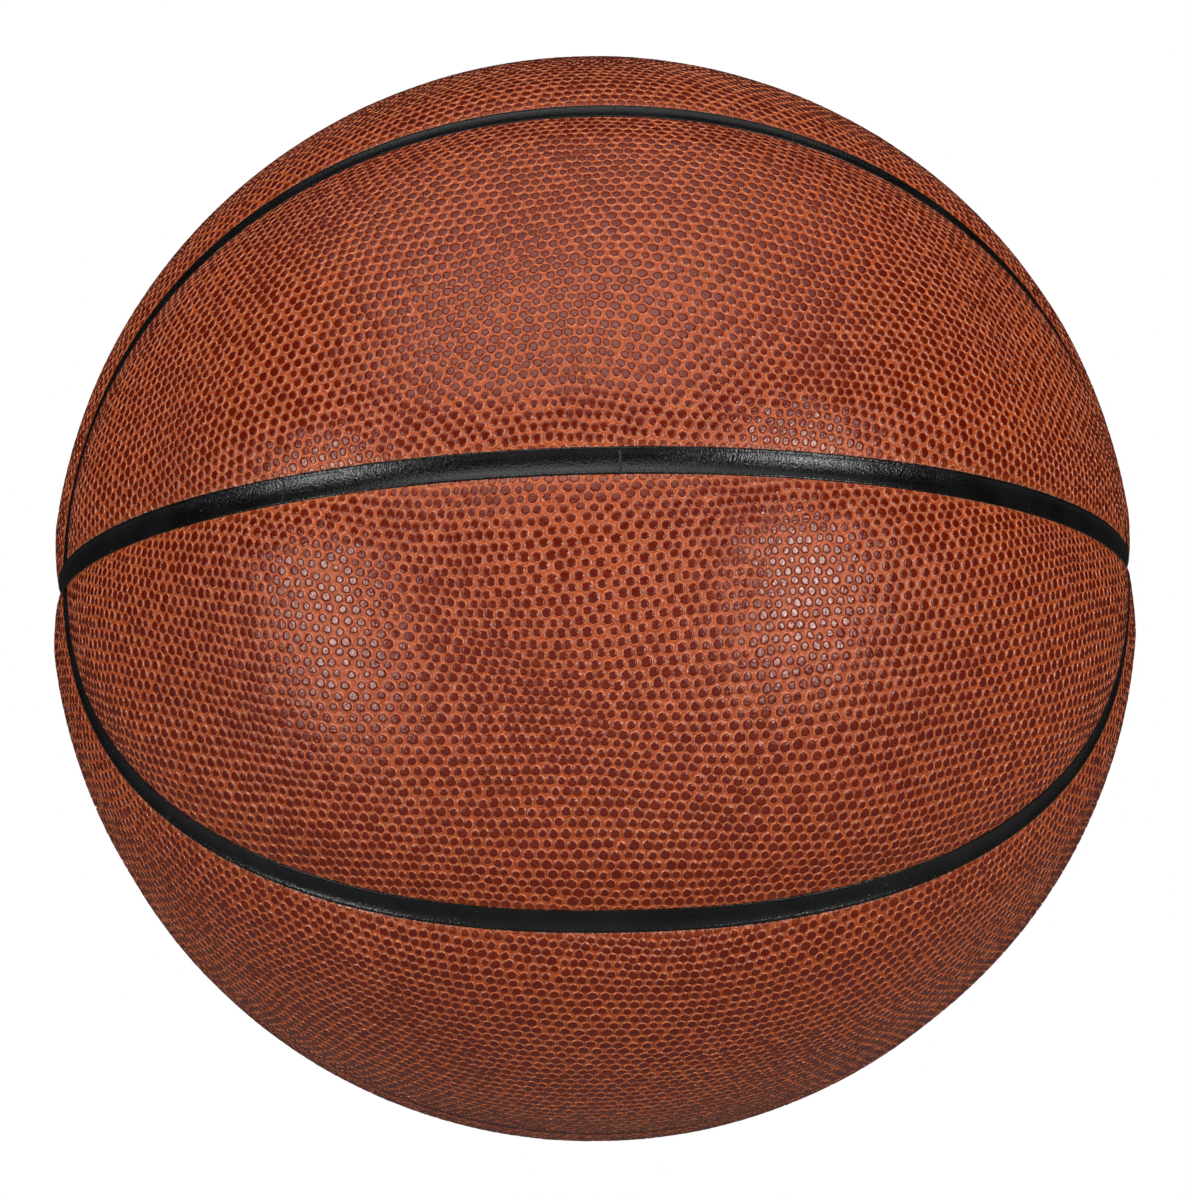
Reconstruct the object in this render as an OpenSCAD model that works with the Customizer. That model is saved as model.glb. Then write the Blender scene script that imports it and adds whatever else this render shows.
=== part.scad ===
/* [Ball] */
// Radius over the crowns of the cover panels
ball_r = 111.2; // [105:0.1:122]

/* [Seams] */
// Angle between each end of an oval seam and the pole where the other two seams cross, in degrees
oval_to_pole = 15; // [10:1:20]
// Half the height of each oval seam, in degrees seen from the ball's centre
oval_half_height = 45; // [40:1:50]
// Fullness of the oval seams at their corners, where 2 is a plain ellipse
oval_fullness = 2.2; // [2:0.05:2.6]
// Width of the channel between the walls of two panels
channel_w = 5.2; // [3.6:0.1:6.4]

/* [Cover panels] */
// Thickness of the pebbled cover
cover_t = 1.3; // [0.8:0.1:2]
// Width of the rounded shoulder along each edge of a panel
shoulder_w = 10.4; // [6:0.1:12]
// Depth of the shoulder at the channel, below the crown
shoulder_drop = 1.15; // [0.6:0.05:1.4]

/* [Foam pads] */
// Thickness of the foam under the crown of each cover
foam_t = 1.6; // [1.5:0.1:3]

/* [Carcass and bladder] */
// Thickness of the moulded rubber carcass
carcass_t = 1.1; // [0.8:0.1:2]
// Thickness of the thread winding inside the carcass
winding_t = 0.6; // [0.4:0.1:1.2]
// Thickness of the bladder that holds the air
bladder_t = 0.8; // [0.6:0.1:1.5]

/* [Channel strips] */
// Depth of the strips' middle line below the crown
strip_depth = 1.8; // [1.4:0.05:2]
// How far a strip's edges stand above its middle line
strip_hollow = 0.55; // [0.2:0.05:0.8]
// Gap at the sides and the ends of a strip
strip_gap = 0.1; // [0.05:0.05:0.3]

/* [Valve] */
// Height of the valve above the middle seam, in degrees seen from the ball's centre
valve_latitude = 67.5; // [62:0.5:74]
// Radius of the housing's neck, whose face shows in the cover
neck_r = 3.8; // [3.4:0.1:5]
// Gap around the neck in every layer that it passes
neck_gap = 0.15; // [0.1:0.05:0.4]
// Depth of the neck's face below the crown
neck_recess = 0.8; // [0.5:0.1:1.2]
// Radius of the housing's flange, bonded inside the bladder
flange_r = 14; // [10:0.5:20]
// Thickness of the flange
flange_t = 1.2; // [0.8:0.1:2]
// Radius of the housing's barrel
barrel_r = 5; // [4.6:0.1:6.5]
// Length of the barrel inside the flange
barrel_length = 8; // [7:0.5:12]
// Thickness of the barrel's end
barrel_end_t = 1; // [0.5:0.5:1.5]
// Radius of the plug's stem
plug_r = 2.1; // [1.8:0.1:2.4]
// Radius of the collar that keeps the plug in its housing
collar_r = 3.2; // [2.8:0.1:3.6]
// Height of the collar, with its tapered side
collar_h = 3; // [2:0.5:4]
// Height of the collar above the plug's inner end
collar_lift = 3; // [2:0.5:3.5]
// Radius of the hole that guides the needle
needle_r = 1.1; // [0.9:0.05:1.3]
// Depth of the needle's hole, down to the sealed tip
needle_depth = 7; // [5:0.5:8]
// Depth and extra radius of the needle hole's flared mouth
needle_mouth = 0.5; // [0.3:0.1:0.7]

/* [Hidden] */

$fn = 240;
full_turn = 360;
half_turn = 180;
quarter_turn = 90;
// Overrun of every cut
over = 0.5;
// Half the length of each oval seam, seen from the ball's centre
oval_half_length = quarter_turn - oval_to_pole;
// Straight steps round each oval seam
oval_steps = 72;
// Points of a panel's shoulder, as shares of its width and of its drop; the last slope meets the
// crown at [1, 0] and runs on past it
shoulder_shares = [[0, 1], [0.45, 0.47], [1.55, -0.47]];
// A strip's hollow face, as shares of its half width and of its hollow
hollow_shares = [[1, 1], [0.7, 0.42], [0.35, 0.1], [0, 0], [-0.35, 0.1], [-0.7, 0.42], [-1, 1]];
// Part of the collar's height that is tapered
taper_share = 0.6;

// Outer radius of each layer, and the radius of the air
foam_r = ball_r - cover_t;
carcass_r = foam_r - foam_t;
winding_r = carcass_r - carcass_t;
bladder_r = winding_r - winding_t;
air_r = bladder_r - bladder_t;
// Half the channel, from a seam's line to the wall of a panel
wall = channel_w / 2;
// A radius well outside the ball, where the bodies that cut it end
reach = 3 * ball_r;
// Heights along the valve's axis, from the ball's centre
neck_face = ball_r - neck_recess;
barrel_end = air_r - flange_t - barrel_length;
plug_end = barrel_end + barrel_end_t;

cover_colour = "sienna";
foam_colour = "wheat";
strip_colour = [0.08, 0.08, 0.09];
carcass_colour = "dimgray";
thread_colour = "gainsboro";
bladder_colour = [0.2, 0.2, 0.21];
valve_colour = [0.12, 0.12, 0.13];

// Angle of a length that is measured along the crown
function arc_angle(length) = length / ball_r * half_turn / PI;
function signed_power(x, p) = sign(x) * pow(abs(x), p);

// Direction of the front oval seam at one of its steps
function oval_seam(step) = let (
        turn = full_turn * step / oval_steps,
        across = sin(oval_half_length) * signed_power(cos(turn), 2 / oval_fullness),
        up = sin(oval_half_height) * signed_power(sin(turn), 2 / oval_fullness)
    ) [across, -sqrt(1 - across * across - up * up), up];

// Direction a length inside the oval seam, or outside it where the length is negative
function beside_seam(step, inset) = let (
        here = oval_seam(step),
        along = oval_seam(step + 1) - oval_seam(step - 1),
        inward = cross(here, along),
        turn = arc_angle(inset)
    ) cos(turn) * here + sin(turn) * inward / norm(inward);

// Edge profile of a body under a crown of radius r, as distances from the seam with radii: its
// wall, its shoulder, and a last step outwards
function walled(r) = let (
        shoulder = [
            for (share = shoulder_shares)
                [wall + share[0] * shoulder_w, r - share[1] * shoulder_drop]
        ]
    ) concat(shoulder, [[shoulder[len(shoulder) - 1][0], reach]]);

// The same profile with its wall moved out of the way
function unwalled(r) = concat([[wall - over, r - shoulder_drop]], walled(r));

// Section through a channel strip: distances from the seam with radii, from its underside's middle
function strip_section() = let (
        half_w = wall - strip_gap,
        under = carcass_r - over
    ) concat(
        [[0, under], [half_w, under]],
        [for (share = hollow_shares) [share[0] * half_w, ball_r - strip_depth + share[1] * strip_hollow]],
        [[-half_w, under]]
    );

// Point of the section at a distance beside the middle seam's plane
function beside_plane(pair) = [sqrt(pair[1] * pair[1] - pair[0] * pair[0]), pair[0]];

// Point of the section at a distance that is measured along the crown
function along_crown(pair) = pair[1] * [cos(arc_angle(pair[0])), sin(arc_angle(pair[0]))];

// Body above the middle seam, whose edge has the given profile
module above_middle(profile) {
    rotate_extrude()
        polygon(concat(
            [[0, profile[0][0]]],
            [for (pair = profile) pair[0] > wall ? along_crown(pair) : beside_plane(pair)],
            [[0, reach]]
        ));
}

// Body in front of the seam that runs over the top
module before_top(profile) {
    rotate([quarter_turn, 0, 0]) above_middle(profile);
}

// Body inside the front oval seam, from the ball's centre out through each pair of the profile
module inside_oval(profile, side = 1) {
    rings = len(profile);
    last = oval_steps - 1;
    cap = rings * oval_steps + 1;
    function at(ring, step) = 1 + ring * oval_steps + step % oval_steps;
    polyhedron(
        points = concat(
            [[0, 0, 0]],
            [for (pair = profile, step = [0:last]) pair[1] * beside_seam(step, side * pair[0])],
            [[0, -reach, 0]]
        ),
        faces = concat(
            [for (step = [0:last]) [0, at(0, step), at(0, step + 1)]],
            [for (ring = [0:rings - 2], step = [0:last]) each [
                [at(ring, step), at(ring + 1, step), at(ring + 1, step + 1)],
                [at(ring, step), at(ring + 1, step + 1), at(ring, step + 1)]
            ]],
            [for (step = [0:last]) [cap, at(rings - 1, step + 1), at(rings - 1, step)]]
        )
    );
}

// Everything above the wall of the panels over the middle seam
module upper_side() {
    translate([-reach, -reach, wall]) cube([2 * reach, 2 * reach, reach]);
}

// Panel of the front oval's upper half, solid down to the ball's centre
module inner_panel(r, profile) {
    intersection() {
        sphere(r);
        above_middle(profile);
        inside_oval(profile);
    }
}

// Panel between the front oval, the middle seam and the seam over the top, solid in the same way
module outer_panel(r, profile) {
    difference() {
        intersection() {
            sphere(r);
            above_middle(profile);
            before_top(profile);
        }
        inside_oval(profile, -1);
    }
}

module inner_cover() {
    color(cover_colour) difference() {
        inner_panel(ball_r, walled(ball_r));
        inner_panel(foam_r, unwalled(foam_r));
    }
}

module outer_cover() {
    color(cover_colour) difference() {
        outer_panel(ball_r, walled(ball_r));
        outer_panel(foam_r, unwalled(foam_r));
    }
}

module inner_foam() {
    color(foam_colour) difference() {
        inner_panel(foam_r, walled(foam_r));
        sphere(carcass_r);
    }
}

module outer_foam() {
    color(foam_colour) difference() {
        outer_panel(foam_r, walled(foam_r));
        sphere(carcass_r);
    }
}

// Strip round the middle seam, with its hollow face outwards
module ring_strip() {
    color(strip_colour) difference() {
        rotate_extrude() polygon([for (pair = strip_section()) beside_plane(pair)]);
        sphere(carcass_r);
    }
}

// Upper half of the strip in the seam over the top, which ends at the middle strip
module half_ring_strip() {
    intersection() {
        rotate([quarter_turn, 0, 0]) ring_strip();
        upper_side();
    }
}

// Upper half of the strip in the front oval seam
module half_oval_strip() {
    section = strip_section();
    sides = len(section);
    last = oval_steps / 2;
    function at(step, side) = step * sides + side % sides;
    color(strip_colour) intersection() {
        difference() {
            polyhedron(
                points = [for (step = [0:last], pair = section) pair[1] * beside_seam(step, pair[0])],
                faces = concat(
                    [for (side = [1:sides - 2]) [at(0, 0), at(0, side + 1), at(0, side)]],
                    [for (step = [0:last - 1], side = [0:sides - 1]) each [
                        [at(step, side), at(step, side + 1), at(step + 1, side + 1)],
                        [at(step, side), at(step + 1, side + 1), at(step + 1, side)]
                    ]],
                    [for (side = [1:sides - 2]) [at(last, 0), at(last, side), at(last, side + 1)]]
                )
            );
            sphere(carcass_r);
        }
        upper_side();
    }
}

module below() {
    mirror([0, 0, 1]) children();
}

module behind() {
    rotate([0, 0, half_turn]) children();
}

// Turns what stands along +Z onto the valve's axis
module on_valve_axis() {
    rotate([valve_latitude - quarter_turn, 0, 0]) children();
}

// The hole that the valve's neck takes through every layer
module neck_hole() {
    on_valve_axis() cylinder(r = neck_r + neck_gap, h = reach);
}

module shell(r, t) {
    difference() {
        sphere(r);
        sphere(r - t);
        neck_hole();
    }
}

// Outline of the plug, which the housing's cavity repeats
module plug_solid() {
    collar_start = plug_end + collar_lift;
    rotate_extrude()
        polygon([
            [0, plug_end],
            [plug_r, plug_end],
            [plug_r, collar_start],
            [collar_r, collar_start + taper_share * collar_h],
            [collar_r, collar_start + collar_h],
            [plug_r, collar_start + collar_h],
            [plug_r, neck_face],
            [0, neck_face]
        ]);
}

module cover_front_upper() inner_cover();
module cover_front_lower() below() inner_cover();
module cover_back_upper() behind() inner_cover();
module cover_back_lower() behind() below() inner_cover();
module cover_front_top() outer_cover();
module cover_front_bottom() below() outer_cover();
module cover_back_bottom() behind() below() outer_cover();

module cover_back_top() {
    color(cover_colour) difference() {
        behind() outer_cover();
        neck_hole();
    }
}

module foam_front_upper() inner_foam();
module foam_front_lower() below() inner_foam();
module foam_back_upper() behind() inner_foam();
module foam_back_lower() behind() below() inner_foam();
module foam_front_top() outer_foam();
module foam_front_bottom() below() outer_foam();
module foam_back_bottom() behind() below() outer_foam();

module foam_back_top() {
    color(foam_colour) difference() {
        behind() outer_foam();
        neck_hole();
    }
}

module strip_middle() ring_strip();
module strip_over_top() half_ring_strip();
module strip_under_bottom() below() half_ring_strip();
module strip_front_upper() half_oval_strip();
module strip_front_lower() below() half_oval_strip();
module strip_back_upper() behind() half_oval_strip();
module strip_back_lower() behind() below() half_oval_strip();

module carcass() color(carcass_colour) shell(carcass_r, carcass_t);
module thread_winding() color(thread_colour) shell(winding_r, winding_t);
module bladder() color(bladder_colour) shell(bladder_r, bladder_t);

module valve_housing() {
    color(valve_colour) on_valve_axis() difference() {
        union() {
            intersection() {
                difference() {
                    sphere(air_r);
                    sphere(air_r - flange_t);
                }
                cylinder(r = flange_r, h = reach);
            }
            translate([0, 0, barrel_end]) cylinder(r = barrel_r, h = barrel_length + flange_t / 2);
            translate([0, 0, barrel_end]) cylinder(r = neck_r, h = neck_face - barrel_end);
        }
        plug_solid();
        translate([0, 0, barrel_end - over]) cylinder(r = needle_r, h = barrel_end_t + 2 * over);
    }
}

module valve_plug() {
    color(valve_colour) on_valve_axis() difference() {
        plug_solid();
        translate([0, 0, neck_face - needle_depth]) cylinder(r = needle_r, h = needle_depth + over);
        translate([0, 0, neck_face - needle_mouth])
            cylinder(r1 = needle_r, r2 = needle_r + needle_mouth, h = needle_mouth);
    }
}

cover_front_upper();
cover_front_lower();
cover_back_upper();
cover_back_lower();
cover_front_top();
cover_front_bottom();
cover_back_top();
cover_back_bottom();
foam_front_upper();
foam_front_lower();
foam_back_upper();
foam_back_lower();
foam_front_top();
foam_front_bottom();
foam_back_top();
foam_back_bottom();
strip_middle();
strip_over_top();
strip_under_bottom();
strip_front_upper();
strip_front_lower();
strip_back_upper();
strip_back_lower();
carcass();
thread_winding();
bladder();
valve_housing();
valve_plug();
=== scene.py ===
import bpy
import math
import numpy as np
from mathutils import Matrix, Vector
from mathutils.geometry import delaunay_2d_cdt


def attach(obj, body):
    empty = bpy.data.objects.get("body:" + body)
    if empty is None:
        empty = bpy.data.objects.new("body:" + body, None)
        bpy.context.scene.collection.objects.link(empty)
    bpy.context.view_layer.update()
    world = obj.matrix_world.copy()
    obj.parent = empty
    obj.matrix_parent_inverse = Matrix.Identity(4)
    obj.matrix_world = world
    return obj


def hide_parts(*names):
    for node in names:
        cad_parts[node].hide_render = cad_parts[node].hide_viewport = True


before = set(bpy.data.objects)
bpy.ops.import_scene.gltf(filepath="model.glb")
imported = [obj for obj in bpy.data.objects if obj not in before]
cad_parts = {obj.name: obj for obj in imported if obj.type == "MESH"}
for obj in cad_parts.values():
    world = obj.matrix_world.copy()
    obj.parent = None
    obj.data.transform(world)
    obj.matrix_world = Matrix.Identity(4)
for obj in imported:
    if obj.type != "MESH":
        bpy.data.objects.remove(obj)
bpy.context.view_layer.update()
mm = 0.001

# The ball's layout, in mm and degrees, as the CAD part has it
ball = {
    "radius": 111.2,
    "ovalLength": 75.0,       # half of it, seen from the centre
    "ovalHeight": 45.0,
    "ovalFullness": 2.2,
    "wall": 2.6,              # from a seam's line to the wall of a panel
    "shoulderWidth": 10.4,
    "shoulderDrop": 1.15,
    "shoulderPower": 1.25,
    "foamTop": 109.9,
    "foamShoulder": ([0, 0.45, 1], [1, 0.47, 0]),   # shares of the width and of the drop
    "carcassTop": 108.3,
    "innerMiddle": 22.5,      # latitude of a panel's middle, inside the oval
    "outerMiddle": 67.5,      # and outside it, where the valve is too
    "valveHole": 3.95,
    "seamSteps": (20000, 1200),   # round an oval seam: before and after they are spaced evenly
}

# Half turns that carry a front upper piece to its three other places
places = {
    "front_upper": np.diag([1, 1, 1]), "front_lower": np.diag([-1, 1, -1]),
    "back_upper": np.diag([-1, -1, 1]), "back_lower": np.diag([1, -1, -1]),
}


def unit(v):
    return v / np.linalg.norm(v, axis=-1, keepdims=True)


def ovalCurve(fine, steps):
    # Superellipse x = A |cos t|^(2/n), z = B |sin t|^(2/n) on the front of the unit ball, evenly
    # spaced along its length, each point with the direction beside it that leads into the oval
    t = np.linspace(0, 2 * np.pi, fine + 1)
    power = 2 / ball["ovalFullness"]
    x = math.sin(math.radians(ball["ovalLength"])) * np.sign(np.cos(t)) * np.abs(np.cos(t)) ** power
    z = math.sin(math.radians(ball["ovalHeight"])) * np.sign(np.sin(t)) * np.abs(np.sin(t)) ** power
    p = np.stack([x, -np.sqrt(1 - x * x - z * z), z], 1)
    walked = np.concatenate([[0], np.cumsum(np.linalg.norm(np.diff(p, axis=0), axis=1))])
    even = np.linspace(0, walked[-1], steps + 1)[:-1]
    p = unit(np.stack([np.interp(even, walked, p[:, k]) for k in range(3)], 1))
    along = unit(np.roll(p, -1, 0) - np.roll(p, 1, 0))
    return p, unit(np.cross(p, along))


seamPoints, seamInward = ovalCurve(*ball["seamSteps"])


def ovalDistance(n):
    # Arc length from the oval seam, positive inside it: R asin(n . m), with m the inward
    # direction at the seam's nearest point, found in slices to spare memory
    found, pull = np.empty(len(n)), np.empty((len(n), 3))
    atOnce = 8192
    for start in range(0, len(n), atOnce):
        part = n[start:start + atOnce]
        m = seamInward[np.argmax(part.astype(np.float32) @ seamPoints.T.astype(np.float32), 1)]
        found[start:start + atOnce] = np.arcsin(np.clip((part * m).sum(1), -1, 1)) * ball["radius"]
        pull[start:start + atOnce] = m
    return found, pull


def makeMesh(name, points, faces, smooth, attributes, bakeMap, creased=None):
    # One mesh from whole arrays: points in mm, faces as rows of three corners, one map place per corner.
    # An edge between two creased points is sharp
    me = bpy.data.meshes.new(name)
    me.vertices.add(len(points))
    me.vertices.foreach_set("co", (points * mm).astype(np.float32).ravel())
    me.loops.add(faces.size)
    me.loops.foreach_set("vertex_index", faces.astype(np.int32).ravel())
    me.polygons.add(len(faces))
    me.polygons.foreach_set("loop_start", np.arange(0, faces.size, 3, dtype=np.int32))
    me.update(calc_edges=True)
    me.polygons.foreach_set("use_smooth", smooth)
    if creased is not None:
        ends = np.empty(2 * len(me.edges), np.int32)
        me.edges.foreach_get("vertices", ends)
        sharp = creased[ends.reshape(-1, 2)].all(1)
        me.attributes.new("sharp_edge", "BOOLEAN", "EDGE").data.foreach_set("value", sharp)
    for key, values in attributes.items():
        me.attributes.new(key, "FLOAT", "POINT").data.foreach_set("value", values.astype(np.float32))
    me.uv_layers.new(name="OFBake").uv.foreach_set("vector", bakeMap.astype(np.float32).ravel())
    me.validate()
    piece = bpy.data.objects.new(name, me)
    bpy.context.scene.collection.objects.link(piece)
    return piece


def foldedMap(along, across, faces, rows, low, high):
    # A long band laid out as rows, one above the other, between two heights of the unit square: each
    # face goes to the row of its middle, and its corners keep their distances
    margin = 0.012
    along = (along - along.min()) / np.ptp(along) * rows
    across = (across - across.min()) / np.ptp(across)
    row = np.clip(np.floor(along[faces].mean(1)), 0, rows - 1)[:, None]
    u = margin + (1 - 2 * margin) * (along[faces] - row)
    v = (row + margin + (1 - 2 * margin) * across[faces]) / rows
    return np.stack([u, low + (high - low) * v], -1).reshape(-1, 2)


# Cover panels, each with its pebbles as one surface

cover = {
    "pitch": 2.22,            # mm from pebble to pebble
    "jitter": 0.085,          # of the pitch
    "jitterLimit": 0.24,
    "wander": 1.5,            # mm that the rows stray
    "wanderLengths": (35, 90),
    "top": 0.388,             # radius of a pebble's top, of the pitch
    "flank": 0.10,            # mm that its steep side takes
    "roundness": 0.55,        # 1 is a circle, 0 follows the cell
    "cellReach": 0.53,        # of the pitch, from a pebble's middle to its cell's outline
    "spread": 0.1,            # of a pebble's size
    "sizes": (0.76, 1.2),     # the smallest and the largest
    "corners": 9,             # of a pebble's top
    "rimReach": 0.84,         # furthest that a top's rim goes towards the cell's outline
    "footReach": 0.94,
    "crown": 111.05,
    "dome": 0.012,            # mm from a pebble's middle to the rim of its top
    "lean": 0.018,            # mm that the rim of a top is off level
    "foot": 0.22,             # mm from its middle to the foot of its side
    "relief": 0.27,           # mm from its middle to the lowest lines between the pebbles
    "swell": 0.05,            # mm of unevenness in the padding
    "swellLengths": (14, 45, 12),
    "lipWidth": 0.7,
    "lipDrop": 0.2,
    "calmWidth": 2.2,         # mm from the lip in which the pebbles come up
    "calmest": 0.3,           # of their relief at the lip
    "calmLevel": 0.45,        # of the relief, the level that they flatten to
    "snap": 0.06,             # mm from the wall at which a point is moved onto it
    "shortest": 0.1,          # mm of lip below which two points are made one
    "foldPasses": 4,
    "foldTurn": -0.95,        # cosine of the turn at which the lip counts as folded back
    "closeness": 0.0005,      # mm that counts as touching on the underside
    "underside": 0.02,        # mm left over the foam
    "undersideGrid": 4.5,
    "halfLengths": (148, 176),   # mm of the flat map, inside the oval and outside it
    "halfHeight": 46,
    "surround": 1.6,          # pitches beyond the wall up to which cells are laid
    "mapEdge": 0.01,          # the bake map: walls lowest, then the underside, then the top in two rows
    "mapWall": (0.03, 0.02),
    "mapUnder": (0.08, 0.06, 50),
    "mapTop": (2, 0.16, 1),
}
# The pebble attribute on the middle of a top, its rim, the foot of its side and the lines between
middleMark, rimMark, footMark, lineMark = 1, 0.5, 0.2, 0
sameMark, middleTone = 1e-6, 0.5


def waves(rng, shortest, longest, count=7):
    # Random sines: 2 pi / length times the direction of each, and its phase
    length, way = rng.uniform(shortest, longest, count), rng.uniform(0, 2 * np.pi, count)
    turn = 2 * np.pi / length
    return np.stack([turn * np.cos(way), turn * np.sin(way), rng.uniform(0, 2 * np.pi, count)])


def waveSum(w, x, y):
    # Mean of sines in random directions, from about -1 to 1
    return np.sin(x[..., None] * w[0] + y[..., None] * w[1] + w[2]).sum(-1) / math.sqrt(w.shape[1])


def pebbleLattice(rng, halfLength, halfHeight):
    # Triangular lattice P = i a + j b, strayed and jittered. The middles of its two kinds of triangle,
    # up and down, are the corners of the cells. Each cell holds a pebble: a ring of points for the rim
    # of its top and one for its foot, between a circle and the cell's own outline
    s, p, rowHeight = cover, cover["pitch"], math.sqrt(0.75)
    rows = int(halfHeight / (p * rowHeight)) + 3
    columns = int(halfLength / p) + rows // 2 + 3
    i, j = np.meshgrid(np.arange(-columns, columns + 1), np.arange(-rows, rows + 1), indexing="ij")
    c = np.stack([(i + j / 2) * p, j * p * rowHeight], -1)
    strayX, strayY = waves(rng, *s["wanderLengths"]), waves(rng, *s["wanderLengths"])
    stray = np.stack([waveSum(strayX, c[..., 0], c[..., 1]), waveSum(strayY, c[..., 0], c[..., 1])], -1)
    most = s["jitterLimit"] * p
    c = c + s["wander"] * stray + rng.normal(0, s["jitter"] * p, c.shape).clip(-most, most)
    right, above, both = (np.roll(c, shift, (0, 1)) for shift in ((-1, 0), (0, -1), (-1, -1)))
    up, down = (c + right + above) / 3, (right + above + both) / 3
    count = i.size
    grid = np.arange(count).reshape(i.shape)

    def at(kind, di=0, dj=0):
        return np.roll(grid, (-di, -dj), (0, 1)) + kind * count
    outline = np.stack([at(1), at(2, -1), at(1, -1), at(2, -1, -1), at(1, 0, -1), at(2, 0, -1)], -1)
    flat = np.concatenate([x.reshape(-1, 2) for x in (c, up, down)])
    inner = np.zeros(i.shape, bool)
    inner[2:-2, 2:-2] = True
    own, outline = grid[inner], outline[inner]
    cells = len(own)
    # A ring's points lie towards even places along the cell's outline
    along = np.arange(s["corners"]) * 6 / s["corners"]
    first, share = along.astype(int), (along % 1)[:, None]
    goal = flat[outline[:, first]] * (1 - share) + flat[outline[:, (first + 1) % 6]] * share
    reach = goal - flat[own][:, None]
    far = np.linalg.norm(reach, axis=-1, keepdims=True)
    size = rng.normal(1, s["spread"], (cells, 1, 1)).clip(*s["sizes"])
    radius = s["top"] * p * size * (s["roundness"] + (1 - s["roundness"]) * far / (s["cellReach"] * p))
    way = reach / far
    rim = flat[own][:, None] + way * np.minimum(radius, s["rimReach"] * far)
    foot = flat[own][:, None] + way * np.minimum(radius + s["flank"], s["footReach"] * far)
    rimAt = len(flat) + np.arange(cells * s["corners"]).reshape(cells, -1)
    footAt = rimAt + rimAt.size
    nextRim, nextFoot = np.roll(rimAt, -1, 1), np.roll(footAt, -1, 1)
    middle = np.broadcast_to(own[:, None], rimAt.shape)
    faces = [np.stack([middle, rimAt, nextRim], -1), np.stack([rimAt, footAt, nextFoot], -1),
             np.stack([rimAt, nextFoot, nextRim], -1)]
    # From the foot to the outline: each foot edge meets the corner ahead of its first point, each
    # outline edge the foot point that comes first after it starts
    onward = np.searchsorted(along, np.arange(6))
    faces.append(np.stack([footAt, outline[:, (first + 1) % 6], nextFoot], -1))
    faces.append(np.stack([footAt[:, onward], outline, np.roll(outline, -1, 1)], -1))
    faces = np.concatenate(faces, 1)
    flat = np.concatenate([flat, rim.reshape(-1, 2), foot.reshape(-1, 2)])
    marks = np.zeros((len(flat), 3))
    marks[:, 1] = middleTone
    tone, lean = rng.uniform(0, 1, cells), rng.normal(0, s["lean"], (cells, 1, 2))
    for points, mark in ((own, middleMark), (rimAt, rimMark), (footAt, footMark)):
        marks[points, 0] = mark
        marks[points, 1] = tone.reshape(-1, *[1] * (points.ndim - 1))
    marks[rimAt, 2] = (way * lean).sum(-1)
    return flat, faces, own, marks


def clipped(d, faces):
    # The part of the triangles where d is above 0, cut straight across where it passes through 0.
    # Gives the faces and, for each new point, the two points whose edge it lies on
    s = np.sign(d)[faces]
    kept = faces[(s >= 0).all(1) & (s > 0).any(1)]
    crossed = (s < 0).any(1) & (s > 0).any(1)
    faces, s = faces[crossed], s[crossed]
    outside, inside = (s < 0).sum(1), (s > 0).sum(1)

    def turned(rows, mark):
        first = np.argmax(mark[rows], 1)[:, None]
        return np.take_along_axis(faces[rows], (first + [0, 1, 2]) % 3, 1)
    quad = turned((outside == 1) & (inside == 2), s < 0)
    touch = turned((outside == 1) & (inside == 1), s < 0)
    tip = turned((outside == 2) & (inside == 1), s > 0)
    touchEnds = np.where((d[touch[:, 1]] > 0)[:, None], touch[:, [0, 1]], touch[:, [2, 0]])
    ends = [quad[:, [0, 1]], quad[:, [2, 0]], touchEnds, tip[:, [0, 1]], tip[:, [2, 0]]]
    pairs, new = np.unique(np.sort(np.concatenate(ends), 1), axis=0, return_inverse=True)
    ends = np.cumsum([len(e) for e in ends])[:-1]
    quadA, quadB, touchNew, tipA, tipB = np.split(new.ravel() + len(d), ends)
    made = [kept, np.stack([quadA, quad[:, 1], quad[:, 2]], 1), np.stack([quadA, quad[:, 2], quadB], 1),
            np.stack([touchNew, touch[:, 1], touch[:, 2]], 1), np.stack([tip[:, 0], tipA, tipB], 1)]
    return np.concatenate(made), pairs


def openEdges(faces):
    # Edges that no face has the other way round, each in the direction of its one face
    edges = np.concatenate([faces[:, [0, 1]], faces[:, [1, 2]], faces[:, [2, 0]]])
    count = faces.max() + 1
    return edges[~np.isin(edges[:, 0] * count + edges[:, 1], edges[:, 1] * count + edges[:, 0])]


def joined(faces, pairs):
    # Each pair of points made one, and the faces that this closes up left out
    target = np.arange(faces.max() + 1)
    np.minimum.at(target, pairs.max(1), pairs.min(1))
    while (target[target] != target).any():
        target = target[target]
    faces = target[faces]
    return faces[(faces != np.roll(faces, 1, 1)).all(1)]


def folds(n, lip):
    # The shorter edge at each point of the outline where it turns straight back on itself
    step = n[lip[:, 1]] - n[lip[:, 0]]
    size = np.linalg.norm(step, axis=1)
    following = np.zeros(lip.max() + 1, int)
    following[lip[:, 0]] = np.arange(len(lip))
    following = following[lip[:, 1]]
    back = (step * step[following]).sum(1) < cover["foldTurn"] * size * size[following]
    return lip[np.where(size < size[following], np.arange(len(lip)), following)[back]]


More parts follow.
